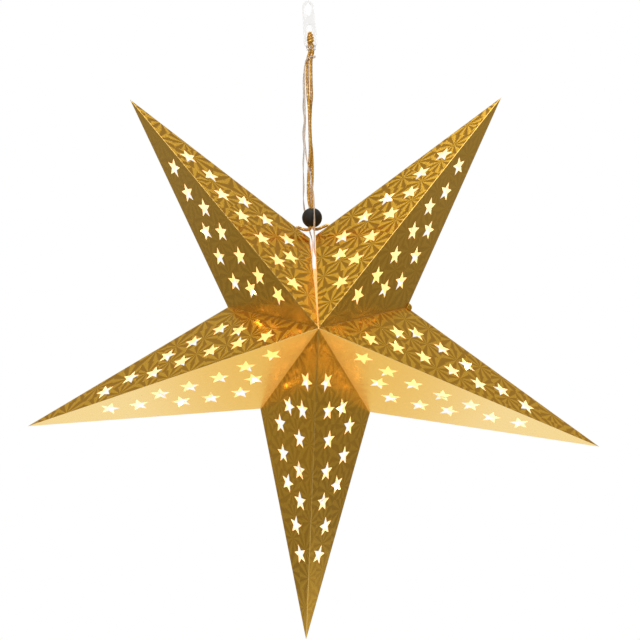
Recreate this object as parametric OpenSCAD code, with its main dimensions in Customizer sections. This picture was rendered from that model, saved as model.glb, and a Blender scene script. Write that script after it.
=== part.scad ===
/* [Star] */
// Distance from the star's centre to the tip of each point
tip_radius = 323; // [280:1:380]
// Distance from the star's centre to each notch between two points
notch_radius = 100; // [90:1:115]
// Distance from the mid-plane to the front centre and to the back centre
half_depth = 120; // [100:1:145]
// Thickness of the card
card = 0.4; // [0.3:0.05:0.6]
// Distance from the star's axis to the blunted corner of each sheet
centre_cut = 0.5; // [0.4:0.1:2]

/* [How far each point is opened] */
// Angle of the upper left point between its two seams
spread_upper_left = 68.6; // [66:0.1:71]
// Angle of the left point between its two seams
spread_left = 69.3; // [67:0.1:72]
// Angle of the bottom point between its two seams
spread_bottom = 71.5; // [69:0.1:73]
// Angle of the right point between its two seams
spread_right = 72.7; // [70:0.1:74]
// Angle of the upper right point between its two seams
spread_upper_right = 74.5; // [72:0.1:75]
// Turn of the upper left point's tip from the middle of its seams, towards the top
lean_upper_left = 0.3; // [0:0.1:2]
// Turn of the left point's tip from the middle of its seams, towards the top
lean_left = 0.2; // [0:0.1:2]
// Turn of the bottom point's tip from the middle of its seams, towards the left
lean_bottom = 0.4; // [0:0.1:2]
// Turn of the right point's tip from the middle of its seams, downwards
lean_right = 2.1; // [0:0.1:3]
// Turn of the upper right point's tip from the middle of its seams, downwards
lean_upper_right = 1.7; // [0:0.1:3]
// Angle of the open top seam's left lip, counted from the right hand side
lip_angle = 94.6; // [94:0.1:96]
// How far the cord pulls the left lip up, away from the star's centre
lift_left = 3.5; // [0:0.5:5]
// How far the cord pulls the right lip up, away from the star's centre
lift_right = 6; // [0:0.5:7]

/* [Cut-outs] */
// Tip radius of a star-shaped cut-out
cut_radius = 11; // [7:0.5:12]
// Radius of the inner corners of a cut-out
cut_inner_radius = 4.7; // [3:0.1:5.5]

/* [Seam flaps] */
// Width of the glue flaps along the seams
flap_width = 10; // [6:0.5:14]
// Length of seam left without a flap at the front centre and at the back centre
flap_start = 14; // [8:1:30]
// Length of seam left without a flap at the notch
flap_end = 6; // [5:0.5:15]
// Radius of the flap ends that stand out of the right notch
stub_radius = 5; // [3:0.5:7]

/* [Hanging] */
// Sideways distance from the hanging eye to the star's centre
hang_shift = 10.5; // [10:0.1:11]
// Diameter of the twisted cord
cord_d = 3.4; // [2:0.1:3.5]
// Diameter of the knots in the cord inside the end points
knot_d = 6.6; // [5:0.1:7]
// Clearance all round the cord in its punched holes
hole_clearance = 0.5; // [0.4:0.1:1]
// Distance from a punched hole to the top notch, along the side edge
hole_from_notch = 18; // [17:0.5:19]
// Distance from a punched hole to the side edge
hole_from_edge = 4; // [3.5:0.1:4.5]

/* [Bead] */
// Diameter of the bead
bead_d = 21.5; // [19:0.5:22]
// Diameter of the hole through the bead
bead_bore = 8; // [7.5:0.1:10]
// Drop from the hanging eye to the middle of the bead
bead_drop = 232.5; // [232:0.1:233]
// Drop from the middle of the bead to the height of the other notches' circle
bead_to_lips = 25; // [24.5:0.1:25.5]

/* [Hanging link] */
// Width of the link's plastic rod
link_rod = 2.8; // [2:0.1:3.5]
// Thickness of the link from front to back
link_thick = 3; // [2.4:0.1:4]
// Radius of the upper eye's round top
upper_eye_r = 3.6; // [3.5:0.1:4]
// Radius of the upper eye's narrow bottom
upper_eye_end_r = 2.2; // [1.5:0.1:2.5]
// Length of the upper eye
upper_eye_len = 13.4; // [13:0.1:14]
// Length of the solid web between the two eyes
web_len = 9.6; // [9:0.1:10]
// Radius of the lower eye's top
lower_eye_top_r = 2.4; // [2.2:0.1:3]
// Radius of the lower eye's round bottom
lower_eye_r = 4.3; // [4.3:0.1:5]
// Length of the lower eye
lower_eye_len = 23.5; // [23:0.1:24]
// Diameter of the boss that the cord passes through
boss_d = 9.8; // [9:0.1:12]
// Length of the boss
boss_len = 4.5; // [4:0.1:5]
// Diameter of the cord hole through the boss
boss_bore = 7; // [6.8:0.1:7.2]
// Lean of the link, in degrees
link_lean = 4; // [3.5:0.1:4.5]
// Length of the knot in the lower eye
top_knot_len = 16; // [12:0.5:16]
// Clearance between a knot and what it is drawn tight against
seat_gap = 0.3; // [0.2:0.05:0.4]

/* [Lights] */
// Diameter of the clear lead and of the lights' wire
wire_d = 1.8; // [1.2:0.1:2]
// Diameter of a lamp
lamp_d = 5; // [3:0.5:6]
// Length of a lamp with its domed end
lamp_len = 9; // [7:0.5:12]
// Height of the battery pack
pack_height = 62; // [50:1:75]
// Width of the battery pack
pack_width = 33; // [28:1:40]
// Depth of the battery pack
pack_depth = 17; // [14:1:24]
// Corner radius of the battery pack
pack_corner = 4; // [2:0.5:6]

/* [Hidden] */
$fn = 48;

centre = [hang_shift, 0, -(bead_drop + bead_to_lips + notch_radius)];
FRONT = -1;
BACK = 1;

// The points in order, anticlockwise from the top seam's left lip as seen from the front.
spreads = [spread_upper_left, spread_left, spread_bottom, spread_right, spread_upper_right];
leans = [lean_upper_left, lean_left, lean_bottom, lean_right, lean_upper_right];
UPPER_LEFT = 0;
LEFT = 1;
BOTTOM = 2;
RIGHT = 3;
UPPER_RIGHT = 4;
POINTS = [UPPER_LEFT, LEFT, BOTTOM, RIGHT, UPPER_RIGHT];

// Angle of the seam where point i starts: the lip plus the spreads of the points before it.
function seam_angle(i) = i < 1 ? lip_angle : seam_angle(i - 1) + spreads[i - 1];
function tip_angle(i) = seam_angle(i) + spreads[i] / 2 - leans[i];
// Distance from the centre to the notch at seam i: the first and the last are the lips.
lifts = [lift_left, 0, 0, 0, 0, lift_right];
function seam_radius(i) = notch_radius + lifts[i];

// A place on the star: polar in the mid-plane, with a depth that is negative at the front.
function on_star(radius, angle, depth = 0) =
    centre + [radius * cos(angle), depth, radius * sin(angle)];
function unit(v) = v / norm(v);

// The corners of point i. Side 0 is its first seam and side 1 its second.
function tip(i) = on_star(tip_radius, tip_angle(i));
function notch(i, side) = on_star(seam_radius(i + side), seam_angle(i + side));
function apex(front) = centre + [0, front * half_depth, 0];

// A face's own axes: u runs from the tip along the ridge, v from the ridge to the notch.
function face_u(i, front) = unit(apex(front) - tip(i));
function face_v(i, side, front) =
    let (edge = notch(i, side) - tip(i), u = face_u(i, front)) unit(edge - (edge * u) * u);
function face_inward(i, side, front) =
    let (n = cross(face_u(i, front), face_v(i, side, front)))
    n * (centre - tip(i)) > 0 ? n : -n;

// The width of a face at a distance along the ridge: it grows to the notch, then shrinks.
ridge_len = norm([tip_radius, half_depth]);
function face_width(i, side, front, along) =
    let (
        edge = notch(i, side) - tip(i),
        notch_u = edge * face_u(i, front),
        notch_v = edge * face_v(i, side, front)
    )
    along < notch_u ? notch_v * along / notch_u
        : notch_v * (ridge_len - along) / (ridge_len - notch_u);

// The cut-outs of a face: share of the ridge from the tip, share of the face's width
// there, and the turn of the first arm from the ridge.
cut_layout = [
    [0.82, 0.34, -15], [0.725, 0.285, 11], [0.715, 0.57, -7], [0.645, 0.63, 12],
    [0.63, 0.27, 10], [0.555, 0.645, 11], [0.53, 0.3, 10], [0.47, 0.62, -7],
    [0.435, 0.31, 10], [0.35, 0.495, 0], [0.265, 0.41, 26]
];
cut_depth = 4 * card;

// The middle of the punched hole near the notch on one side of point i, on its back.
function punched_hole(i, side) =
    let (
        n = notch(i, side),
        edge = unit(tip(i) - n),
        ridge = apex(BACK) - n,
        inward = unit(ridge - (ridge * edge) * edge)
    )
    n + hole_from_notch * edge + hole_from_edge * inward;

// Shift of the tip that sets all four face planes in by one card thickness.
function inner_shift(i) =
    let (
        a = face_inward(i, 0, FRONT),
        b = face_inward(i, 1, FRONT),
        det = a.x * b.z - a.z * b.x
    )
    card * [(b.z - a.z) / det, 0, (a.x - b.x) / det];

// A place inside point i: shares of the tip radius, of the half width there and of the
// depth there. Its half width is that of the two side edges, drawn on past the notches.
function inside(i, s, w, d) =
    let (
        half = spreads[i] / 2,
        notch_along = notch_radius * cos(half),
        along = s * tip_radius,
        half_width = notch_radius * sin(half) * (tip_radius - along) / (tip_radius - notch_along),
        depth = half_depth * (1 - s) * (1 - abs(w)),
        a = tip_angle(i)
    )
    centre + [along * cos(a) - w * half_width * sin(a), d * depth,
        along * sin(a) + w * half_width * cos(a)];

// The wire's way from the open top seam through the points: out to the back ridge of each,
// then straight behind its outer and its inner lamp, and through the next seam.
outer_lamp = [0.5, 0.68, 0.75];
inner_lamp = [0.245, 0.44, 0.6];
at_ridge = [0.58, 0, 0.93];
straight = 4;
seam_share = 0.7;
seam_depth_share = 0.12;
string_start = [4.6, 3, -268];
string_bend = [4.6, 3, -280];
string_points = [
    string_start, string_bend,
    for (i = POINTS) each [
        if (i > 0) on_star(seam_share * notch_radius, seam_angle(i), seam_depth_share * half_depth),
        inside(i, at_ridge.x, at_ridge.y, at_ridge.z),
        for (p = [outer_lamp, inner_lamp], step = [straight, -straight])
            inside(i, p.x, p.y, p.z) + step * [cos(tip_angle(i)), 0, sin(tip_angle(i))]
    ]
];
function lamp_place(k) =
    let (p = k % 2 == 0 ? outer_lamp : inner_lamp) inside(floor(k / 2), p.x, p.y, p.z);

// The cord's left strand, from the knot in the link down to the knot in the left lip.
left_strand = [
    [1.4, 0, -44], [2, 0, -52.5], [-0.2, 0.2, -61], [-0.6, 0.2, -72], [-0.4, 0, -86],
    [0.2, -0.8, -101], [1.5, -1.7, -114], [2, -1.8, -130], [2.4, -1.8, -147], [2.6, -1.8, -160],
    [1.8, -1.4, -174], [0.8, -0.2, -190], [0.6, 0, -205], [1.4, 0, -215], [2.7, 0, -223],
    [2.8, 0.2, -241.5], [2.2, 1.4, -244.2], [-1.2, 4.2, -245], [-6.2, 6.5, -244],
    [-10.4, 6.1, -242.3], [-13.3, 3.4, -244.9], [-15.4, 1.2, -247.6]
];
// The cord's right strand, from the knot in the link down to the knot in the right lip.
right_strand = [
    [4.7, 0, -44], [5.3, 0, -52.5], [3.6, 0, -61], [3.4, 0, -72], [3.6, 0.2, -86],
    [4, 0.6, -101], [2.9, 1.7, -114], [2.3, 1.8, -130], [2.9, 1.8, -147], [4.1, 1.8, -160],
    [4.7, 1.2, -174], [4.7, 0, -190], [4.1, 0, -205], [4.9, 0, -215], [6.2, 0, -223],
    [6.3, 0.2, -241.5], [6.9, 1.4, -244.2], [10.6, 4.4, -244.2], [16.6, 7, -241.4],
    [21, 6.3, -239.9], [24.1, 3.3, -242.6], [26, 0.9, -245.2]
];
// The lead, from the pack up in front of the bead, round the cord under the link, and
// down behind the bead into the top seam.
lead_points = [
    [10.5, 0, -288], [10.5, 0, -279], [7, -3, -267], [6.9, -9, -252], [6.9, -12.6, -243],
    [7, -12.8, -232], [6.6, -9, -218], [5.9, -5, -207], [3.9, -4.8, -194], [0.9, -4.8, -180],
    [-1.2, -4.4, -170], [-2.6, -2.8, -158], [-3.4, -1.2, -144], [-2.6, -1.2, -124],
    [-3.2, -1, -110], [-3.4, -0.8, -90], [-3.4, -1.4, -70], [-1.4, -3.6, -62],
    [2.6, -3.8, -59], [7.4, -2, -58], [7.4, 2, -58.4], [2.8, 3.6, -60], [-2, 3.6, -64],
    [-4.4, 1.6, -75], [-4.6, 1.4, -94], [-4.9, 1.2, -112], [-3.8, 1.6, -126], [-5, 1.4, -140],
    [-4.2, 1.4, -158], [-4.9, 1.6, -176], [-4.4, 2.8, -198], [-4.6, 7.6, -213],
    [-2.6, 12.6, -228], [1.2, 12, -242.5], [4.6, 3, -256], string_start
];

// A tube through points: at each point a ring of corners, square to the line that halves the
// bend there. Each ring's first spoke is the last one's, laid back square to that line.
function leg(p, k) = unit(p[k + 1] - p[k]);
function path_dir(p, k) =
    k < 1 ? leg(p, 0) : k > len(p) - 2 ? leg(p, len(p) - 2) : unit(leg(p, k - 1) + leg(p, k));
function square_to(v, dir) = unit(v - (v * dir) * dir);
module tube(points, d) {
    sides = 8;
    count = len(points);
    spokes = [
        for (k = 0, s = square_to([0, 1, 0.01], path_dir(points, 0));
            k < count;
            k = k + 1, s = square_to(s, path_dir(points, k))) s
    ];
    corners = [
        for (k = [0:count - 1], j = [0:sides - 1])
            let (s = spokes[k], t = cross(path_dir(points, k), s), a = 360 * j / sides)
            points[k] + d / 2 * (cos(a) * s + sin(a) * t)
    ];
    walls = [
        for (k = [0:count - 2], j = [0:sides - 1])
            let (a = k * sides + j, b = k * sides + (j + 1) % sides)
            each [[a, a + sides, b + sides], [a, b + sides, b]]
    ];
    last = (count - 1) * sides;
    polyhedron(
        points = corners,
        faces = concat(
            walls,
            [[for (j = [0:sides - 1]) j]],
            [[for (j = [sides - 1:-1:0]) last + j]]
        )
    );
}

// Sets children on a face: their x runs along u and their y along v.
module on_face(i, side, front) {
    t = tip(i);
    u = face_u(i, front);
    v = face_v(i, side, front);
    w = cross(u, v);
    multmatrix([
        [u.x, v.x, w.x, t.x],
        [u.y, v.y, w.y, t.y],
        [u.z, v.z, w.z, t.z],
        [0, 0, 0, 1]
    ]) children();
}

// Sets children in a seam's plane: x out from the star's axis, y back, z to the next point.
module on_seam(angle) {
    translate(centre) rotate([0, -angle, 0]) children();
}

module five_arm_star() {
    polygon([
        for (k = [0:9])
            let (r = k % 2 == 0 ? cut_radius : cut_inner_radius)
            r * [cos(36 * k), sin(36 * k)]
    ]);
}

// A pyramid with its corner at the point's tip and its rim on the seams and the axis.
// Reach stretches it from the tip, and shift moves it. The inner pyramid reaches past the
// rim, so that the point stays open there.
past_rim = 1.5;
module pyramid(i, reach = 1, shift = [0, 0, 0]) {
    t = tip(i);
    rim = [apex(FRONT), notch(i, 0), apex(BACK), notch(i, 1)];
    polyhedron(
        points = concat([t + shift], [for (p = rim) t + reach * (p - t) + shift]),
        faces = [[0, 2, 1], [0, 3, 2], [0, 4, 3], [0, 1, 4], [1, 2, 3], [1, 3, 4]]
    );
}

// One glue flap, with ends cut at an angle, on its own side of the seam. Its root lies
// within the card at the seam.
module flap(i, side, front) {
    radius = seam_radius(i + side);
    along = unit([radius, -front * half_depth]);
    inner = -unit([half_depth, front * radius]);
    start = [0, front * half_depth] + card / 4 * inner;
    flap_stop = norm([radius, half_depth]) - flap_end;
    on_seam(seam_angle(i + side))
        translate([0, 0, -side * card])
            linear_extrude(card)
                polygon([
                    start + flap_start * along,
                    start + flap_stop * along,
                    start + (flap_stop - flap_width) * along + flap_width * inner,
                    start + (flap_start + flap_width) * along + flap_width * inner
                ]);
}

// Half of the round flap end that stands out of a notch, in the mid-plane.
module stub(i, side) {
    on_seam(seam_angle(i + side))
        translate([notch_radius, 0, 0])
            rotate([90, 0, 0])
                linear_extrude(card)
                    difference() {
                        circle(stub_radius);
                        translate([-stub_radius, (side - 1) * stub_radius])
                            square([2 * stub_radius, stub_radius]);
                    }
}

// One folded point: four faces from one sheet, with its flaps, cut-outs and holes. Its
// corners at the front and back centre are blunted.
module point(i, holes_side = -1, stub_side = -1) {
    color("goldenrod")
        difference() {
            union() {
                difference() {
                    pyramid(i);
                    pyramid(i, past_rim, inner_shift(i));
                }
                for (side = [0, 1], front = [FRONT, BACK]) flap(i, side, front);
                if (stub_side >= 0) stub(i, stub_side);
            }
            translate(centre)
                rotate([0, -tip_angle(i), 0])
                    cube([2 * centre_cut, 3 * half_depth, 8 * centre_cut], center = true);
            for (side = [0, 1], front = [FRONT, BACK])
                on_face(i, side, front)
                    for (c = cut_layout)
                        let (along = c.x * ridge_len)
                        translate([along, c.y * face_width(i, side, front, along), -cut_depth / 2])
                            rotate(c.z) linear_extrude(cut_depth) five_arm_star();
            if (holes_side >= 0) {
                hole = punched_hole(i, holes_side) - tip(i);
                on_face(i, holes_side, BACK)
                    translate([
                        hole * face_u(i, BACK),
                        hole * face_v(i, holes_side, BACK),
                        -cut_depth / 2
                    ])
                        cylinder(d = cord_d + 2 * hole_clearance, h = cut_depth);
            }
        }
}

module point_upper_left() { point(UPPER_LEFT, holes_side = 0); }
module point_left() { point(LEFT); }
module point_bottom() { point(BOTTOM); }
module point_right() { point(RIGHT, stub_side = 1); }
module point_upper_right() { point(UPPER_RIGHT, holes_side = 1, stub_side = 0); }

// The knot drawn up inside an end point, behind its punched hole.
module lip_knot(i, side) {
    depth = card + seat_gap + knot_d / 2;
    translate(punched_hole(i, side) + depth * face_inward(i, side, BACK)) sphere(d = knot_d);
}

// The knot in the link's lower eye, down on the boss.
module top_knot() {
    low_r = lower_eye_r - 2 * seat_gap;
    high_r = lower_eye_top_r + seat_gap;
    low = -lower_eye_end + seat_gap + low_r;
    high = -lower_eye_end + seat_gap + top_knot_len - high_r;
    rotate([0, -link_lean, 0]) {
        translate([0, 0, low]) {
            sphere(r = low_r);
            cylinder(r1 = low_r, r2 = high_r, h = high - low);
        }
        translate([0, 0, high]) sphere(r = high_r);
    }
}

module hanging_cord() {
    color("darkgoldenrod") {
        tube(left_strand, cord_d);
        tube(right_strand, cord_d);
        top_knot();
        lip_knot(UPPER_LEFT, 0);
        lip_knot(UPPER_RIGHT, 1);
    }
}

// The bead is threaded on both strands, halfway between them.
module cord_bead() {
    bead_x = 4.6;
    color("black")
        translate([bead_x, 0, -bead_drop])
            difference() {
                sphere(d = bead_d);
                translate([0, 0, -bead_d]) cylinder(d = bead_bore, h = 2 * bead_d);
            }
}

// The link, drawn downwards from the top of its upper eye.
lower_eye_start = upper_eye_len + web_len;
lower_eye_end = lower_eye_start + lower_eye_len;
module eye(top_r, bottom_r, length) {
    hull() {
        translate([0, -top_r]) circle(top_r);
        translate([0, bottom_r - length]) circle(bottom_r);
    }
}
module hanging_link() {
    color("white", 0.5)
        rotate([0, -link_lean, 0])
            difference() {
                union() {
                    translate([0, link_thick / 2, 0])
                        rotate([90, 0, 0])
                            linear_extrude(link_thick)
                                difference() {
                                    hull() {
                                        translate([0, -upper_eye_r]) circle(upper_eye_r + link_rod);
                                        translate([0, lower_eye_r - lower_eye_end])
                                            circle(lower_eye_r + link_rod);
                                    }
                                    eye(upper_eye_r, upper_eye_end_r, upper_eye_len);
                                    translate([0, -lower_eye_start])
                                        eye(lower_eye_top_r, lower_eye_r, lower_eye_len);
                                }
                    translate([0, 0, -lower_eye_end - boss_len]) cylinder(d = boss_d, h = boss_len);
                }
                translate([0, 0, -lower_eye_end - 2 * boss_len])
                    cylinder(d = boss_bore, h = 2 * boss_len + lower_eye_r / 2);
            }
}

module light_lead() { color("gainsboro") tube(lead_points, wire_d); }
module light_string() { color("gainsboro") tube(string_points, wire_d); }

// A lamp stands on the front of the wire: a clear cylinder with a domed end.
module lamp(k) {
    color("lightyellow")
        translate(lamp_place(k) - [0, wire_d / 2 + seat_gap, 0])
            rotate([90, 0, 0]) {
                cylinder(d = lamp_d, h = lamp_len - lamp_d / 2);
                translate([0, 0, lamp_len - lamp_d / 2]) sphere(d = lamp_d);
            }
}

// The closed pack hangs on the lead, with its top at the lead's end.
module battery_pack() {
    side_x = pack_width / 2 - pack_corner;
    side_y = pack_depth / 2 - pack_corner;
    color("whitesmoke")
        translate(lead_points[0] - [0, 0, pack_height])
            linear_extrude(pack_height)
                union() {
                    square([pack_width, pack_depth - 2 * pack_corner], center = true);
                    square([pack_width - 2 * pack_corner, pack_depth], center = true);
                    for (x = [-side_x, side_x], y = [-side_y, side_y])
                        translate([x, y]) circle(pack_corner);
                }
}

point_upper_left();
point_left();
point_bottom();
point_right();
point_upper_right();
hanging_cord();
cord_bead();
hanging_link();
light_lead();
light_string();
for (k = [1:10])
    lamp(k - 1);
battery_pack();
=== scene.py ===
"""A folding paper star lantern of gold foil card, lit from inside and hung by its cord."""
import math

import bmesh
import bpy
import numpy as np
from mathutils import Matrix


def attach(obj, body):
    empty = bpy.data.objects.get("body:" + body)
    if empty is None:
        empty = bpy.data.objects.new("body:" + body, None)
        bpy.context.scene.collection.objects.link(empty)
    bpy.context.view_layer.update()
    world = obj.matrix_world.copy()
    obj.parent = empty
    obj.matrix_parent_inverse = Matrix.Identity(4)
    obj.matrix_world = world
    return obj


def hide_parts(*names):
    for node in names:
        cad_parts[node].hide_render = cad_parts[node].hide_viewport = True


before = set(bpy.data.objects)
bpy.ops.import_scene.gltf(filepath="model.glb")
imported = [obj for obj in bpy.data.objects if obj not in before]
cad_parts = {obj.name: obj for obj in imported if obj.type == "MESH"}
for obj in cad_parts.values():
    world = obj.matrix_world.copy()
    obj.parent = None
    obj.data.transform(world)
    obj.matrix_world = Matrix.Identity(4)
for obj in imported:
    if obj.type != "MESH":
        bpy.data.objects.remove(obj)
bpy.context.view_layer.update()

# Camera. A long lens below the star, a little left of its axis, looking up at it.
star_centre = np.array([0.0105, 0.0, -0.3575])
camera_distance = 1.92
camera_yaw = math.radians(0.5)
camera_pitch = math.radians(3.05)
aim = star_centre + [0.0026, 0.0, 0.0153]

camera = bpy.data.objects.new("camera", bpy.data.cameras.new("camera"))
bpy.context.scene.collection.objects.link(camera)
camera.location = star_centre - camera_distance * np.array([
    math.sin(camera_yaw), math.cos(camera_pitch), math.sin(camera_pitch)])
forward = aim - np.array(camera.location)
camera.rotation_euler = (
    math.atan2(forward[2], math.hypot(forward[0], forward[1])) + math.pi / 2,
    0.0,
    math.atan2(-forward[0], forward[1]),
)
camera.data.sensor_width = 36
camera.data.lens = 101.2
bpy.context.scene.camera = camera
bpy.context.scene.view_settings.view_transform = "Standard"


# Hanging cord. Two strands of twisted metallic yarn lie side by side, knotted together in the
# link and singly inside each lip. Each strand is four plies laid round each other.
class Signal:
    """A socket in a shader expression. Each + - * / on signals adds one Math node."""

    def __init__(self, look, socket):
        self.look = look
        self.socket = socket

    def math(self, operation, first, second=0.0):
        """One Math node on two numbers or signals."""
        return self.look.add("ShaderNodeMath", {"operation": operation}, {0: first, 1: second})

    def __add__(self, other):
        return self.math("ADD", self, other)

    def __radd__(self, other):
        return self.math("ADD", other, self)

    def __sub__(self, other):
        return self.math("SUBTRACT", self, other)

    def __rsub__(self, other):
        return self.math("SUBTRACT", other, self)

    def __mul__(self, other):
        return self.math("MULTIPLY", self, other)

    def __rmul__(self, other):
        return self.math("MULTIPLY", other, self)

    def __truediv__(self, other):
        return self.math("DIVIDE", self, other)

    def __rtruediv__(self, other):
        return self.math("DIVIDE", other, self)


class Look:
    """The node tree of one finish. add() makes every node except those of expressions."""

    def __init__(self, owner):
        owner.use_nodes = True
        self.owner = owner
        self.tree = owner.node_tree
        self.tree.nodes.clear()

    def add(self, kind, settings=None, inputs=None, output=0):
        """One node: its type, its settings, its sockets' values or links, its output."""
        node = self.tree.nodes.new(kind)
        for name, value in (settings or {}).items():
            if name == "stops":
                ramp = node.color_ramp.elements
                while len(ramp) < len(value):
                    ramp.new(1.0)
                for element, (place, colour) in zip(ramp, value):
                    element.position = place
                    element.color = colour
            else:
                setattr(node, name, value)
        for name, value in (inputs or {}).items():
            if isinstance(value, Signal):
                self.tree.links.new(value.socket, node.inputs[name])
            else:
                node.inputs[name].default_value = value
        return Signal(self, node.outputs[output] if len(node.outputs) else None)

    def place(self):
        """The place on the object, in metres."""
        return self.add("ShaderNodeTexCoord", output=3)

    def noise(self, vector, scale, detail=2.0):
        """Soft random grey, with its grains one over scale apart."""
        return self.add("ShaderNodeTexNoise", {},
                        {"Vector": vector, "Scale": scale, "Detail": detail})

    def mix(self, factor, first, second, blend="MIX"):
        """A colour between two, by a factor."""
        return self.add("ShaderNodeMix", {"data_type": "RGBA", "blend_type": blend},
                        {0: factor, 6: first, 7: second}, 2)

    def band(self, value, low, high):
        """0 below low, 1 above high and a smooth step between."""
        return self.add("ShaderNodeMapRange", {"interpolation_type": "SMOOTHSTEP"},
                        {0: value, 1: low, 2: high})

    def bump(self, height, distance=1.0, strength=1.0):
        """The surface's direction, tilted by the slope of a height times a distance."""
        return self.add("ShaderNodeBump", {},
                        {"Height": height, "Distance": distance, "Strength": strength})

    def split(self, vector):
        """The three numbers of a vector."""
        parts = self.add("ShaderNodeSeparateXYZ", {}, {0: vector})
        return [Signal(self, socket) for socket in parts.socket.node.outputs]

    def principled(self, **inputs):
        """Sends a Principled shader to the output. Underscores in names stand for spaces."""
        shader = self.add("ShaderNodeBsdfPrincipled", {}, {
            name.replace("_", " "): value for name, value in inputs.items()})
        self.add("ShaderNodeOutputMaterial", {}, {0: shader})


def unit(vectors):
    """Each vector divided by its own length."""
    return vectors / np.linalg.norm(vectors, axis=-1, keepdims=True)


def path_length(route):
    """The sum of the distances between each place on a route and the next."""
    return float(np.linalg.norm(np.diff(route, axis=0), axis=1).sum())


def smooth_route(points, step):
    """A cubic between each two points, whose slope at a point is half the way from the one
    before it to the one after it, set out again at even steps along its length."""
    p = np.array(points) / 1000
    before = np.vstack([2 * p[0] - p[1], p[:-1]])
    after = np.vstack([p[1:], 2 * p[-1] - p[-2]])
    slope = (after - before) / 2
    t = np.linspace(0, 1, 24, endpoint=False)[None, :, None]
    a, b, u, v = p[:-1, None], p[1:, None], slope[:-1, None], slope[1:, None]
    curve = ((2 * t**3 - 3 * t**2 + 1) * a + (t**3 - 2 * t**2 + t) * u
             + (3 * t**2 - 2 * t**3) * b + (t**3 - t**2) * v).reshape(-1, 3)
    curve = np.vstack([curve, p[-1]])
    along = np.concatenate([[0], np.cumsum(np.linalg.norm(np.diff(curve, axis=0), axis=1))])
    even = np.linspace(0, along[-1], max(int(along[-1] / step), 8))
    return np.column_stack([np.interp(even, along, curve[:, k]) for k in range(3)])


def swept(route, radius, spoke=(0.0, 1.0, 0.01)):
    """The corners of rings square to a route, ring after ring. radius gives each corner's
    distance from the route: a row for each place and a column for each angle."""
    direction = unit(np.gradient(route, axis=0))
    side = np.array(spoke)
    side = unit(side - (direction @ side)[:, None] * direction)
    other = np.cross(direction, side)
    angle = np.linspace(0, 2 * np.pi, radius.shape[1], endpoint=False)[None, :, None]
    out = np.cos(angle) * side[:, None] + np.sin(angle) * other[:, None]
    return (route[:, None] + radius[..., None] * out).reshape(-1, 3)


def tube_faces(rows, columns, start=0):
    """Four-cornered faces round and along a swept tube, then one face on each end."""
    ring = np.arange(columns)
    first = np.arange(rows - 1)[:, None] * columns + start
    following = (ring + 1) % columns
    walls = np.stack([first + ring, first + following, first + columns + following,
                      first + columns + ring], -1)
    ends = [list(range(start + columns - 1, start - 1, -1)),
            list(range(start + (rows - 1) * columns, start + rows * columns))]
    return walls.reshape(-1, 4).tolist() + ends


def add_piece(name, corners, faces, finishes):
    """A smooth mesh object at the origin from corners and faces, with its finishes."""
    mesh = bpy.data.meshes.new(name)
    mesh.from_pydata(corners.tolist(), [], faces)
    for finish in finishes:
        mesh.materials.append(finish)
    mesh.polygons.foreach_set("use_smooth", [True] * len(mesh.polygons))
    mesh.update()
    piece = bpy.data.objects.new(name, mesh)
    bpy.context.scene.collection.objects.link(piece)
    return piece


cord_diameter, ply_count, ply_lay = 0.0034, 4, 0.016
ply_radius = 0.35 * cord_diameter
cord_step, knot_steps_per_turn = 0.0006, 90
left_route = [
    [1.4, 0, -44], [2, 0, -52.5], [-0.2, 0.2, -61], [-0.6, 0.2, -72], [-0.4, 0, -86],
    [0.2, -0.8, -101], [1.5, -1.7, -114], [2, -1.8, -130], [2.4, -1.8, -147], [2.6, -1.8, -160],
    [1.8, -1.4, -174], [0.8, -0.2, -190], [0.6, 0, -205], [1.4, 0, -215], [2.7, 0, -223],
    [2.8, 0.2, -241.5], [2.2, 1.4, -244.2], [-1.2, 4.2, -245], [-6.2, 6.5, -244],
    [-10.4, 6.1, -242.3], [-13.3, 3.4, -244.9], [-15.4, 1.2, -247.6],
]
right_route = [
    [4.7, 0, -44], [5.3, 0, -52.5], [3.6, 0, -61], [3.4, 0, -72], [3.6, 0.2, -86],
    [4, 0.6, -101], [2.9, 1.7, -114], [2.3, 1.8, -130], [2.9, 1.8, -147], [4.1, 1.8, -160],
    [4.7, 1.2, -174], [4.7, 0, -190], [4.1, 0, -205], [4.9, 0, -215], [6.2, 0, -223],
    [6.3, 0.2, -241.5], [6.9, 1.4, -244.2], [10.6, 4.4, -244.2], [16.6, 7, -241.4],
    [21, 6.3, -239.9], [24.1, 3.3, -242.6], [26, 0.9, -245.2],
]

yarn_look = Look(bpy.data.materials.new("gold_yarn"))
around, along, _ = yarn_look.split(yarn_look.add("ShaderNodeUVMap", {"uv_map": "along"}))
ply_turn = (around - along / ply_lay) * ply_count
groove = yarn_look.add("ShaderNodeMath", {"operation": "PINGPONG"}, {0: ply_turn, 1: 0.5})
fleck = yarn_look.noise(yarn_look.place(), 1500.0)
foil_thread = yarn_look.add("ShaderNodeTexVoronoi", {}, {
    "Vector": yarn_look.place(), "Scale": 1150.0}, 1)
# Glints are painted on the foil threads as a paler gold; the threads are also more metallic.
glint = yarn_look.band(yarn_look.split(foil_thread)[0], 0.72, 0.9)
yarn = yarn_look.mix(yarn_look.band(fleck, 0.35, 0.65), (0.36, 0.16, 0.02, 1), (0.80, 0.40, 0.06, 1))
# Shade is painted dark along the grooves between the plies.
yarn = yarn_look.mix(yarn_look.band(groove, 0.12, 0.0) * 0.6, yarn, (0.24, 0.10, 0.015, 1))
yarn = yarn_look.mix(glint, yarn, (1.0, 0.74, 0.26, 1))
yarn_look.principled(Base_Color=yarn, Metallic=0.35 + glint * 0.5, Roughness=0.38,
                     Normal=yarn_look.bump(fleck, 0.0003, 0.5))


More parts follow.
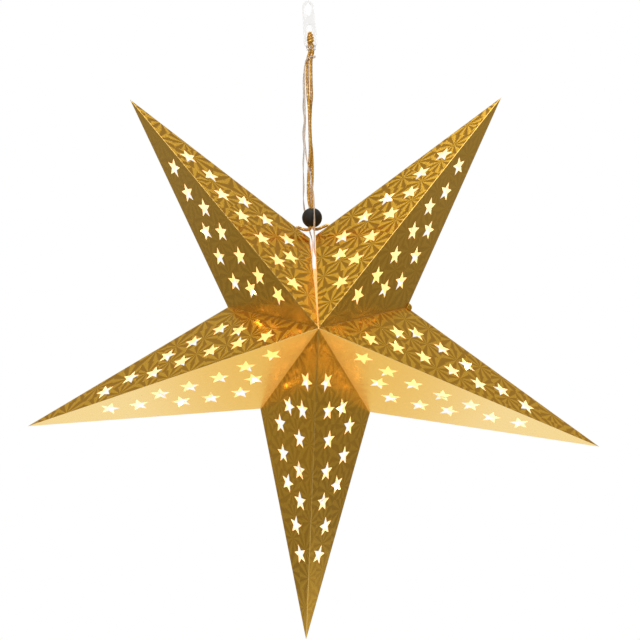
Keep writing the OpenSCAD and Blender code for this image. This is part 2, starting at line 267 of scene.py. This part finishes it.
def twisted_yarn(name, route, spoke=(0.0, 1.0, 0.01), columns=24):
    """A strand swept along a route. Its outline is that of plies pressed together: each ply's
    own circle seen from the strand's middle, turned once in each lay of length."""
    reach = cord_diameter / 2 - ply_radius
    length = path_length(route)
    along = np.linspace(0, length, len(route))[:, None]
    angle = np.linspace(0, 2 * np.pi, columns, endpoint=False)[None, :]
    turn = (angle - 2 * np.pi * along / ply_lay) % (2 * np.pi / ply_count) - np.pi / ply_count
    radius = reach * np.cos(turn) + np.sqrt(
        np.maximum(ply_radius**2 - (reach * np.sin(turn))**2, 1e-9))
    strand = add_piece(name, swept(route, radius, spoke), tube_faces(len(route), columns),
                       [yarn_look.owner])
    corner = np.empty(len(strand.data.loops), int)
    strand.data.loops.foreach_get("vertex_index", corner)
    row, column = np.divmod(corner, columns)
    strand.data.uv_layers.new(name="along").data.foreach_set(
        "uv", np.column_stack([column / columns, along[row, 0]]).ravel())
    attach(strand, "root")
    return strand


def wound_knot(name, middle, axis, radii, height, turns):
    """Cord wound round an axis: a helix whose distance from the axis goes evenly through
    the given radii from one end to the other, with its ends tucked in to the axis."""
    axis = unit(np.array(axis, float))
    across = unit(np.cross(axis, [0.31, 0.9, 0.2]))
    t = np.linspace(0, 1, int(knot_steps_per_turn * turns))
    spread = np.interp(t, np.linspace(0, 1, len(radii)), radii)
    angle = 2 * np.pi * turns * t
    return twisted_yarn(name, np.array(middle) + np.outer((t - 0.5) * height, axis)
                        + np.outer(spread * np.cos(angle), across)
                        + np.outer(spread * np.sin(angle), np.cross(axis, across)),
                        tuple(axis), 18)


for side, points in (("left", left_route), ("right", right_route)):
    route = smooth_route(points, cord_step)
    strand = twisted_yarn("cord_strand_" + side, route)
    if side == "left":
        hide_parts("hanging_cord")
    wound_knot(side + "_lip_knot", route[-1], route[-1] - route[-5],
               [0.0004, 0.0016, 0.0016, 0.0004], 0.0033, 2.1)

link_lean, top_knot_drop = math.radians(4), 0.0382
link_down = np.array([math.sin(link_lean), 0.0, -math.cos(link_lean)])
wound_knot("top_knot", top_knot_drop * link_down, link_down,
           [0.0003, 0.0014, 0.002, 0.0023, 0.0023, 0.002, 0.0003], 0.0126, 4.2)


# Light lead. Two thin wires in clear plastic, twisted loosely, go from the pack up to the link,
# once round the cord and down behind the bead into the top seam.
lead_width, lead_wire_radius, lead_core_radius, lead_lay = 0.0018, 0.00045, 0.00018, 0.055
lead_step = 0.0008
lead_points = [
    [10.5, 0, -288], [10.5, 0, -279], [7, -3, -267], [6.9, -9, -252], [6.9, -12.6, -243],
    [7, -12.8, -232], [6.6, -9, -218], [5.9, -5, -207], [3.9, -4.8, -194], [0.9, -4.8, -180],
    [-1.2, -4.4, -170], [-2.6, -2.8, -158], [-3.4, -1.2, -144], [-2.6, -1.2, -124],
    [-3.2, -1, -110], [-3.4, -0.8, -90], [-3.4, -1.4, -70], [-1.4, -3.6, -62],
    [2.6, -3.8, -59], [7.4, -2, -58], [7.4, 2, -58.4], [2.8, 3.6, -60], [-2, 3.6, -64],
    [-4.4, 1.6, -75], [-4.6, 1.4, -94], [-4.9, 1.2, -112], [-3.8, 1.6, -126], [-5, 1.4, -140],
    [-4.2, 1.4, -158], [-4.9, 1.6, -176], [-4.4, 2.8, -198], [-4.6, 7.6, -213],
    [-2.6, 12.6, -228], [1.2, 12, -242.5], [4.6, 3, -256], [4.6, 3, -268],
]

coat_look = Look(bpy.data.materials.new("clear_coat"))
coat_grain = coat_look.noise(coat_look.place(), 400.0)
coat_look.principled(
    Base_Color=coat_look.mix(coat_grain, (0.80, 0.68, 0.62, 1), (0.92, 0.86, 0.82, 1)),
    Roughness=0.15, Alpha=0.6, Normal=coat_look.bump(coat_grain, 0.0001, 0.2))
core_look = Look(bpy.data.materials.new("copper_core"))
core_look.principled(
    Base_Color=core_look.mix(core_look.noise(core_look.place(), 900.0),
                             (0.6, 0.36, 0.27, 1), (0.85, 0.62, 0.5, 1)),
    Metallic=0.9, Roughness=0.35)

route = smooth_route(lead_points, lead_step)
direction = unit(np.gradient(route, axis=0))
spoke = np.array([1.0, 1.0, 1.0])
side = unit(spoke - (direction @ spoke)[:, None] * direction)
twist = np.linspace(0, 2 * np.pi * path_length(route) / lead_lay, len(route))[:, None]
offset = (lead_width / 2 - lead_wire_radius) * (
    np.cos(twist) * side + np.sin(twist) * np.cross(direction, side))
columns = 10
corners, faces = [], []
for radius in (lead_wire_radius, lead_core_radius):
    for sign in (1, -1):
        faces += tube_faces(len(route), columns, len(corners) * len(route) * columns)
        corners.append(swept(route + sign * offset, np.full((len(route), columns), radius),
                             tuple(spoke)))
lead = add_piece("light_lead_wires", np.vstack(corners), faces, [coat_look.owner, core_look.owner])
lead.data.polygons.foreach_set(
    "material_index", np.repeat([0, 1], len(faces) // 2).astype(np.int32))
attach(lead, "root")
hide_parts("light_lead")


# Bead. Moulded plastic, matt black, with a bore for both strands and rounded mouths. It
# slides on the cord and stops above the lips.
def turned(profile, middle, columns, axis=(0.0, 0.0, 1.0)):
    """A closed profile of (distance from the axis, height) turned once round the axis."""
    axis = unit(np.array(axis, float))
    across = unit(np.cross(axis, [0.0, 1.0, 0.02]))
    angle = np.linspace(0, 2 * np.pi, columns, endpoint=False)[:, None]
    out = np.cos(angle) * across + np.sin(angle) * np.cross(axis, across)
    profile = np.array(profile)
    corners = (np.array(middle) + profile[:, 0, None, None] * out[None]
               + profile[:, 1, None, None] * axis)
    rows = len(profile)
    row, column = np.arange(rows)[:, None], np.arange(columns)[None, :]
    next_row, next_column = (row + 1) % rows, (column + 1) % columns
    faces = np.stack([row * columns + column, row * columns + next_column,
                      next_row * columns + next_column, next_row * columns + column], -1)
    return corners.reshape(-1, 3), faces.reshape(-1, 4).tolist()


bead_middle = (0.0046, 0.0, -0.2325)
bead_radius, bore_radius, mouth = 0.01075, 0.004, 0.0007
mouth_angle = math.asin((bore_radius + mouth) / bead_radius)
arc = np.linspace(mouth_angle, math.pi - mouth_angle, 40)
outside = bead_radius * np.column_stack([np.sin(arc), np.cos(arc)])
mouth_height = bead_radius * math.cos(mouth_angle)
round_over = np.linspace(0.15, 0.5, 6) * math.pi
lower_mouth = np.column_stack([bore_radius + mouth * (1 - np.sin(round_over)),
                               -mouth_height + mouth * (1 - np.cos(round_over))])
upper_mouth = lower_mouth[::-1] * [1, -1]
bead_look = Look(bpy.data.materials.new("matt_black"))
bead_grain = bead_look.noise(bead_look.add("ShaderNodeMapping", {}, {
    0: bead_look.place(), "Scale": (1.0, 1.0, 0.25)}), 900.0, 3.0)
bead_look.principled(
    Base_Color=bead_look.mix(bead_grain, (0.007, 0.006, 0.007, 1), (0.018, 0.016, 0.017, 1)),
    Roughness=0.5 + bead_grain * 0.2, Specular_IOR_Level=0.3,
    Normal=bead_look.bump(bead_grain, 0.0002, 0.2))
bead_corners, bead_faces = turned(np.vstack([outside, lower_mouth, upper_mouth]), bead_middle, 64)
bead = add_piece("bead", bead_corners, bead_faces, [bead_look.owner])
# Its dark mirror image would blot the foil of the lips.
bead.visible_glossy = False
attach(bead, "root")
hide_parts("cord_bead")


# Hanging link. Clear plastic, moulded in one: a rod bent into two eyes with a web between
# them, and a boss at the bottom that the cord passes through.
def taper_outline(top_radius, top_height, low_radius, low_height, count=48):
    """The outline round two circles one above the other, with straight sides: each half
    turn is cut where the side's line touches both circles."""
    tilt = math.asin((top_radius - low_radius) / (top_height - low_height))
    upper = np.linspace(-tilt, math.pi + tilt, count)
    lower = np.linspace(math.pi + tilt, 2 * math.pi - tilt, count)
    return np.vstack([
        np.column_stack([top_radius * np.cos(upper), top_height + top_radius * np.sin(upper)]),
        np.column_stack([low_radius * np.cos(lower), low_height + low_radius * np.sin(lower)])])


link_rod, link_thickness, link_edge = 0.0028, 0.003, 0.0008
upper_radius, upper_end_radius, upper_length = 0.0036, 0.0022, 0.0134
web_length = 0.0096
lower_top_radius, lower_radius, lower_length = 0.0024, 0.0043, 0.0235
boss_radius, boss_bore_radius, boss_length, boss_edge = 0.0049, 0.0035, 0.0045, 0.0003
lower_start = upper_length + web_length
lower_end = lower_start + lower_length

link_curve = bpy.data.curves.new("link_outline", "CURVE")
link_curve.dimensions = "2D"
link_curve.fill_mode = "BOTH"
link_curve.bevel_depth = link_edge
link_curve.bevel_resolution = 3
link_curve.extrude = link_thickness / 2 - link_edge
for outline, inset in (
        (taper_outline(upper_radius + link_rod, -upper_radius,
                       lower_radius + link_rod, lower_radius - lower_end), -link_edge),
        (taper_outline(upper_radius, -upper_radius,
                       upper_end_radius, upper_end_radius - upper_length), link_edge),
        (taper_outline(lower_top_radius, -lower_start - lower_top_radius,
                       lower_radius, lower_radius - lower_end), link_edge)):
    tangent = np.roll(outline, -1, 0) - np.roll(outline, 1, 0)
    outline = outline + inset * unit(np.column_stack([tangent[:, 1], -tangent[:, 0]]))
    spline = link_curve.splines.new("POLY")
    spline.points.add(len(outline) - 1)
    spline.points.foreach_set("co", np.column_stack([
        outline, np.zeros(len(outline)), np.ones(len(outline))]).ravel())
    spline.use_cyclic_u = True
outline_object = bpy.data.objects.new("link_outline", link_curve)
link_mesh = bpy.data.meshes.new_from_object(outline_object)
flat = np.empty(len(link_mesh.vertices) * 3)
link_mesh.vertices.foreach_get("co", flat)
flat = flat.reshape(-1, 3)
link_corners = (np.outer(flat[:, 0], [math.cos(link_lean), 0, math.sin(link_lean)])
                + np.outer(flat[:, 2], [0, -1, 0]) - np.outer(flat[:, 1], link_down))
link_faces = [list(face.vertices) for face in link_mesh.polygons]
bpy.data.objects.remove(outline_object)
bpy.data.curves.remove(link_curve)
boss_top, boss_bottom = lower_end - boss_edge, lower_end + boss_length
boss_profile = [
    (boss_radius - boss_edge, boss_top), (boss_radius, lower_end),
    (boss_radius, boss_bottom - boss_edge), (boss_radius - boss_edge, boss_bottom),
    (boss_bore_radius + boss_edge, boss_bottom), (boss_bore_radius, boss_bottom - boss_edge),
    (boss_bore_radius, lower_end), (boss_bore_radius + boss_edge, boss_top)]
link_look = Look(bpy.data.materials.new("clear_moulding"))
flow = link_look.noise(link_look.place(), 160.0)
link_look.principled(
    Base_Color=link_look.mix(flow, (0.88, 0.865, 0.86, 1), (0.96, 0.95, 0.945, 1)),
    Roughness=0.03 + flow * 0.04, Transmission_Weight=0.98, IOR=1.49,
    Normal=link_look.bump(flow, 0.0002, 0.08))
link = add_piece("clear_link", link_corners, link_faces, [link_look.owner])
boss_corners, boss_faces = turned(boss_profile, (0, 0, 0), 40, link_down)
boss = add_piece("link_boss", boss_corners, boss_faces, [link_look.owner])
for piece in (link, boss):
    joined = bmesh.new()
    joined.from_mesh(piece.data)
    bmesh.ops.remove_doubles(joined, verts=joined.verts, dist=1e-6)
    bmesh.ops.recalc_face_normals(joined, faces=joined.faces)
    joined.to_mesh(piece.data)
    joined.free()
    piece.data.set_sharp_from_angle(angle=math.radians(35))
    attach(piece, "root")
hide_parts("hanging_link")


# Points. Five die-cut sheets of card, gold holographic foil outside and white inside, each
# folded on its ridges and side edges. The foil's pattern lies on the flat sheet, so each face
# carries its own flat coordinates and its distances from its ridge, its seam and its side edge.
tip_radius, notch_radius, half_depth, card = 0.323, 0.1, 0.12, 0.0004
first_seam = 94.6
pattern_step, back_pattern_shift = np.array([0.013, 0.0047]), 0.137
point_spreads = {
    "point_upper_left": (68.6, 0.3), "point_left": (69.3, 0.2), "point_bottom": (71.5, 0.4),
    "point_right": (72.7, 2.1), "point_upper_right": (74.5, 1.7),
}
lifts = (0.0035, 0.0, 0.0, 0.0, 0.0, 0.006)
FOIL, INSIDE, EDGE = 0, 1, 2


def on_star(radius, degrees):
    """A place in the mid-plane by its distance and angle round the star's axis."""
    angle = math.radians(degrees)
    return star_centre + [radius * math.cos(angle), 0.0, radius * math.sin(angle)]


def foil_faces(tip, notches):
    """The four flat faces of a point: ridge and cross directions, outward normal, notch and
    apex. The cross direction runs from the ridge to the notch."""
    faces = []
    for depth in (-half_depth, half_depth):
        apex = star_centre + [0, depth, 0]
        ridge = unit(apex - tip)
        for notch in notches:
            edge = notch - tip
            across = unit(edge - (edge @ ridge) * ridge)
            out = np.cross(ridge, across)
            out = -out if out @ (star_centre - tip) > 0 else out
            faces.append((ridge, across, out, notch, apex))
    return faces


def line_distance(points, start, end):
    """The distance of each point from the line through start and end."""
    along = unit(end - start)
    away = points - start
    return np.linalg.norm(away - np.outer(away @ along, along), axis=1)


def cut_sheet(node, tip, notches, pattern_shift, finishes):
    """A merged copy of a point's solid, with each polygon sorted by what side of the card
    it is, and each polygon corner given flat coordinates and distances from its folds."""
    mesh = bpy.data.objects[node].data.copy()
    joined = bmesh.new()
    joined.from_mesh(mesh)
    bmesh.ops.remove_doubles(joined, verts=joined.verts, dist=2e-6)
    joined.to_mesh(mesh)
    joined.free()
    count = len(mesh.polygons)
    centre, normal = np.empty(count * 3), np.empty(count * 3)
    mesh.polygons.foreach_get("center", centre)
    mesh.polygons.foreach_get("normal", normal)
    centre, normal = centre.reshape(-1, 3), normal.reshape(-1, 3)
    total = np.empty(count, int)
    mesh.polygons.foreach_get("loop_total", total)
    owner = np.repeat(np.arange(count), total)
    corner = np.empty(len(mesh.loops), int)
    mesh.loops.foreach_get("vertex_index", corner)
    place = np.empty(len(mesh.vertices) * 3)
    mesh.vertices.foreach_get("co", place)
    place = place.reshape(-1, 3)[corner]

    # A polygon is on a face if it lies within the card's thickness of its plane.
    faces = foil_faces(tip, notches)
    facing = np.stack([normal @ face[2] for face in faces], 1)
    depth = np.stack([np.abs((centre - tip) @ face[2]) for face in faces], 1)
    lying = np.where(depth < 1.2 * card, np.abs(facing), 0)
    nearest = np.where(lying.max(1) > 0, lying.argmax(1), depth.argmin(1))
    side = np.full(count, EDGE)
    flat = lying.max(1) > 0.99
    side[flat] = np.where(facing[np.arange(count), nearest][flat] > 0, FOIL, INSIDE)
    # A flap lies in a seam's plane with its foil away from the point. A flap end that stands
    # out of a notch lies in the mid-plane.
    for notch in notches:
        away = unit(np.cross(notch - star_centre, [0.0, 1.0, 0.0]))
        away = -away if away @ (tip - star_centre) > 0 else away
        near = np.abs((centre - star_centre) @ away) < 1.5 * card
        side[near & (normal @ away > 0.99)] = FOIL
        side[near & (normal @ away < -0.99)] = INSIDE
    side[np.abs(normal[:, 1]) > 0.99] = FOIL

    uv = np.zeros((len(corner), 2))
    folds = np.zeros((len(corner), 3))
    for k, (ridge, across, out, notch, apex) in enumerate(faces):
        mine = nearest[owner] == k
        away = place[mine] - tip
        uv[mine] = np.column_stack([away @ ridge, (1 if k % 2 else -1) * (away @ across)])
        uv[mine] += pattern_shift + (0.0 if k < 2 else back_pattern_shift)
        folds[mine] = np.column_stack([
            line_distance(place[mine], tip, apex), line_distance(place[mine], notch, apex),
            line_distance(place[mine], tip, notch)])
    mesh.uv_layers.new(name="sheet").data.foreach_set("uv", uv.ravel())
    mesh.attributes.new("folds", "FLOAT_VECTOR", "CORNER").data.foreach_set("vector", folds.ravel())
    mesh.attributes.new("looks_up", "FLOAT", "FACE").data.foreach_set("value", normal[:, 2])
    mesh.materials.clear()
    for finish in finishes:
        mesh.materials.append(finish)
    mesh.polygons.foreach_set("material_index", side.astype(np.int32))
    mesh.polygons.foreach_set("use_smooth", [False] * count)
    mesh.update()
    sheet = bpy.data.objects.new(node + "_sheet", mesh)
    bpy.context.scene.collection.objects.link(sheet)
    return sheet


# The foil is metallised film over a pattern of bursts, each a fan of fine pleats round a
# centre. Light and shade are painted on the pleats' two flanks, most on faces that look up. A
# paler sheen is painted on faces that look down, towards the tips, where the varnish coat is
# heavier. The card bellies out a little between its folds and is rounded over each fold, with a
# highlight painted along it.
burst_spacing, pleats, pleat_slope = 0.030, 9, 0.012
belly_slope, sag_depth, fold_drop, fold_reach = 0.15, 0.0004, 0.00012, 0.001
sheen_start, sheen_full = 0.03, 0.22
level_face, downward_face = -0.2, -0.8
facet_weakest_face, facet_strongest_face = -1.2, 0.9
foil_look = Look(bpy.data.materials.new("gold_foil"))
sheet_place = foil_look.add("ShaderNodeUVMap", {"uv_map": "sheet"})
from_ridge, from_seam, from_side = foil_look.split(
    foil_look.add("ShaderNodeAttribute", {"attribute_name": "folds"}, {}, 1))
burst_settings = {"voronoi_dimensions": "2D", "feature": "F1"}
burst_inputs = {"Vector": sheet_place, "Scale": 1 / burst_spacing, "Randomness": 0.35}
burst_middle = foil_look.add("ShaderNodeTexVoronoi", burst_settings, burst_inputs, 2)
burst_tint = foil_look.split(
    foil_look.add("ShaderNodeTexVoronoi", burst_settings, burst_inputs, 1))[0]
from_middle = foil_look.add("ShaderNodeVectorMath", {"operation": "SUBTRACT"},
                            {0: sheet_place, 1: burst_middle})
across_burst, along_burst, _ = foil_look.split(from_middle)
reach = foil_look.add("ShaderNodeVectorMath", {"operation": "LENGTH"}, {0: from_middle}, 1)
turn = foil_look.add("ShaderNodeMath", {"operation": "ARCTAN2"}, {0: along_burst, 1: across_burst})
pleat = foil_look.add("ShaderNodeMath", {"operation": "PINGPONG"}, {
    0: (turn / (2 * math.pi) + burst_tint) * pleats, 1: 0.5})
burst_height = pleat * reach * (2 * math.pi / pleats * pleat_slope)
sag = foil_look.noise(sheet_place, 16.0, 1.0)
from_fold = foil_look.add("ShaderNodeMath", {"operation": "MINIMUM"}, {
    0: foil_look.add("ShaderNodeMath", {"operation": "MINIMUM"}, {0: from_ridge, 1: from_seam}),
    1: from_side})
fold_rounding_and_highlight = foil_look.band(from_fold, 0.0, fold_reach)
foil_height = (burst_height + sag * sag_depth + from_ridge * from_side * belly_slope
               + fold_rounding_and_highlight * fold_drop)
face_up = foil_look.add("ShaderNodeAttribute", {"attribute_name": "looks_up"}, {}, 2)
# Light and shade are painted on the pleats' two flanks, deepest on faces that look up; the flanks'
# roughness differs with them.
facet_depth = foil_look.band(face_up, facet_weakest_face, facet_strongest_face)
flank_shade_and_roughness = (foil_look.band(pleat, 0.15, 0.35) - 0.5) * facet_depth + 0.5
foil_colour = foil_look.mix(flank_shade_and_roughness, (0.68, 0.335, 0.025, 1), (0.94, 0.54, 0.053, 1))
foil_x, _, foil_z = foil_look.split(foil_look.place())
foil_x, foil_z = foil_x - float(star_centre[0]), foil_z - float(star_centre[2])
# A paler sheen is painted on faces that look down, more away from the axis; the varnish coat is
# heavier there too.
from_axis = foil_look.band(foil_x * foil_x + foil_z * foil_z, sheen_start**2, sheen_full**2)
coat_and_painted_sheen = (from_axis * 0.75 + 0.25) * foil_look.band(face_up, level_face, downward_face)
foil_colour = foil_look.mix(coat_and_painted_sheen * 0.8, foil_colour, (0.97, 0.70, 0.25, 1))
# A paler highlight is painted along each fold.
foil_colour = foil_look.mix(0.5 - 0.5 * fold_rounding_and_highlight, foil_colour, (0.95, 0.72, 0.36, 1))
foil_look.principled(Base_Color=foil_colour, Metallic=1.0, Roughness=0.12 + flank_shade_and_roughness * 0.2,
                     Coat_Weight=coat_and_painted_sheen * 0.95 + 0.05, Coat_IOR=2.1, Coat_Roughness=0.3,
                     Normal=foil_look.bump(foil_height))

# The lamps' light on the card's white inside is painted on as a glow: cream in the tips,
# yellow further in, and orange near the star's axis, where it comes only by way of other
# faces. Distances from the axis are compared as squares.
orange_start, orange_end, cream_reach = 0.04, 0.09, 0.2
inside_look = Look(bpy.data.materials.new("card_inside"))
inside_place = inside_look.place()
fibre = inside_look.noise(inside_place, 260.0, 3.0)
inside_x, inside_y, inside_z = inside_look.split(inside_place)
inside_x, inside_z = inside_x - float(star_centre[0]), inside_z - float(star_centre[2])
off_axis = inside_x * inside_x + inside_z * inside_z
inside_look.principled(
    Base_Color=inside_look.mix(fibre, (0.80, 0.76, 0.68, 1), (0.87, 0.84, 0.77, 1)), Roughness=0.65,
    Emission_Color=inside_look.mix(
        inside_look.band(off_axis + inside_y * 0.06, orange_start**2, orange_end**2),
        (0.4, 0.14, 0.008, 1),
        inside_look.mix(inside_look.band(off_axis, orange_start**2, cream_reach**2),
                        (0.56, 0.30, 0.075, 1), (0.56, 0.365, 0.22, 1))),
    Emission_Strength=1.0, Normal=inside_look.bump(fibre, 0.0002, 0.2))

# A little of the lamps' light through the card's cut edges is painted on as a faint orange glow.
edge_look = Look(bpy.data.materials.new("cut_edge"))
edge_look.principled(
    Base_Color=edge_look.mix(edge_look.noise(edge_look.place(), 900.0),
                             (0.8, 0.62, 0.35, 1), (0.9, 0.8, 0.6, 1)),
    Roughness=0.6, Emission_Color=(0.9, 0.45, 0.08, 1), Emission_Strength=0.35)

seam = first_seam
for number, (node, (spread, lean)) in enumerate(point_spreads.items()):
    tip = on_star(tip_radius, seam + spread / 2 - lean)
    notches = (on_star(notch_radius + lifts[number], seam),
               on_star(notch_radius + lifts[number + 1], seam + spread))
    sheet = cut_sheet(node, tip, notches, number * pattern_step,
                      [foil_look.owner, inside_look.owner, edge_look.owner])
    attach(sheet, "root")
    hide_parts(node)
    seam += spread


# Lights inside. Warm white lamps on a clear wire, and the closed battery pack below the top
# seam that feeds them.
lamp_count, lamp_strength = 10, 12.0
lamp_look = Look(bpy.data.materials.new("lit_lamp"))
lamp_look.principled(
    Base_Color=lamp_look.mix(lamp_look.noise(lamp_look.place(), 500.0),
                             (1.0, 0.85, 0.5, 1), (1.0, 0.93, 0.7, 1)),
    Roughness=0.2, Emission_Color=(1.0, 0.68, 0.28, 1), Emission_Strength=lamp_strength)
pack_look = Look(bpy.data.materials.new("moulded_white"))
pack_grain = pack_look.noise(pack_look.place(), 1200.0)
pack_look.principled(
    Base_Color=pack_look.mix(pack_grain, (0.78, 0.77, 0.74, 1), (0.84, 0.83, 0.8, 1)),
    Roughness=0.35 + pack_grain * 0.15, Normal=pack_look.bump(pack_grain, 0.0001, 0.2))
for name, finish in [(f"lamp_{k + 1}", lamp_look.owner) for k in range(lamp_count)] + [
        ("battery_pack", pack_look.owner), ("light_string", coat_look.owner)]:
    mesh = bpy.data.objects[name].data
    if not mesh.materials:
        mesh.materials.append(finish)
    for slot in range(len(mesh.materials)):
        mesh.materials[slot] = finish


# Studio. A pale round floor under the star whose rim fades into the backdrop, with a pool of
# light painted on it that only reflections see, brightest near the star; two soft panels, and a
# room that is white below, dim at the sides and brighter overhead.
floor_height, floor_radius = -1.05, 1.9
fade_start, mirror_near, mirror_mid, fade_end = 0.6, 0.65, 1.2, 1.7
rings = np.array([0.0005, 0.4, 0.8, 1.2, 1.6, floor_radius])
angle = np.linspace(0, 2 * np.pi, 96, endpoint=False)
floor_corners = np.stack([
    rings[:, None] * np.cos(angle), rings[:, None] * np.sin(angle),
    np.full((len(rings), len(angle)), floor_height)], -1).reshape(-1, 3)
floor_look = Look(bpy.data.materials.new("floor"))
floor_x, floor_y, _ = floor_look.split(floor_look.place())
floor_reach = floor_look.add("ShaderNodeMath", {"operation": "SQRT"},
                             {0: floor_x * floor_x + floor_y * floor_y})
floor_seen = floor_look.add("ShaderNodeMixShader", {}, {
    0: floor_look.band(floor_reach, fade_start, fade_end),
    1: floor_look.add("ShaderNodeBsdfPrincipled", {}, {
        "Base Color": (0.93, 0.93, 0.93, 1), "Roughness": 0.7}),
    2: floor_look.add("ShaderNodeEmission", {}, {"Color": (1, 1, 1, 1), "Strength": 1.0})})
# The floor as reflections see it: a painted pool of light, brightest near the star.
floor_near, floor_mid, floor_far = [
    floor_look.add("ShaderNodeEmission", {}, {"Color": (1, 1, 0.9, 1), "Strength": strength})
    for strength in (1.0, 0.5, 0.25)]
floor_painted_pool = floor_look.add("ShaderNodeMixShader", {}, {
    0: floor_look.band(floor_reach, mirror_mid, fade_end), 2: floor_far,
    1: floor_look.add("ShaderNodeMixShader", {}, {
        0: floor_look.band(floor_reach, mirror_near, mirror_mid), 1: floor_near, 2: floor_mid})})
floor_ray = floor_look.add("ShaderNodeLightPath").socket.node.outputs
floor_look.add("ShaderNodeOutputMaterial", {}, {0: floor_look.add("ShaderNodeMixShader", {}, {
    0: Signal(floor_look, floor_ray["Is Glossy Ray"]), 1: floor_seen, 2: floor_painted_pool})})
floor = add_piece("floor", floor_corners, tube_faces(len(rings), len(angle))[:-1],
                  [floor_look.owner])

for name, place, size, power in (
        ("overhead_panel", (0.0, -0.3, 1.1), 1.6, 14.0),
        ("front_panel", (-1.2, -2.0, 0.3), 1.4, 16.0)):
    panel = bpy.data.objects.new(name, bpy.data.lights.new(name, "AREA"))
    bpy.context.scene.collection.objects.link(panel)
    panel.data.shape = "DISK"
    panel.data.size = size
    panel.data.energy = power
    panel.location = place
    towards = star_centre - np.array(place)
    panel.rotation_euler = (
        math.atan2(math.hypot(towards[0], towards[1]), -towards[2]), 0.0,
        math.atan2(-towards[0], towards[1]))

# The room's brightness at each height, from straight down to straight up, as shares of its
# brightest, and how warm it is there. A straight look at the backdrop is white.
room_white = 1.5
room_levels = ((-90, 1.0, 0.0), (-62, 1.0, 0.0), (-50, 0.95, 0.1), (-38, 0.26, 1.0),
               (-26, 0.18, 1.0), (-18, 0.17, 1.0), (-11, 0.22, 1.0), (10, 0.22, 1.0),
               (30, 0.40, 1.0), (40, 0.29, 1.0), (54, 0.29, 1.0), (66, 0.6, 0.6), (90, 0.6, 0.0))
world = bpy.data.worlds.new("studio")
bpy.context.scene.world = world
room = Look(world)
_, _, up = room.split(room.add("ShaderNodeTexCoord"))
shade = room.add("ShaderNodeValToRGB", {"stops": [
    (math.sin(math.radians(height)) * 0.5 + 0.5,
     (level, level * (1 - 0.05 * warm), level * (1 - 0.3 * warm), 1))
    for height, level, warm in room_levels]}, {0: up * 0.5 + 0.5})
shade = room.mix(1.0, shade, (room_white, room_white, room_white, 1), "MULTIPLY")
room_ray = room.add("ShaderNodeLightPath").socket.node.outputs
straight = room.add("ShaderNodeMath", {"operation": "MAXIMUM"}, {
    0: Signal(room, room_ray["Is Camera Ray"]), 1: Signal(room, room_ray["Is Transmission Ray"])})
room.add("ShaderNodeOutputWorld", {}, {0: room.add("ShaderNodeBackground", {}, {
    0: room.mix(straight, shade, (1, 1, 1, 1)), 1: 1.0})})
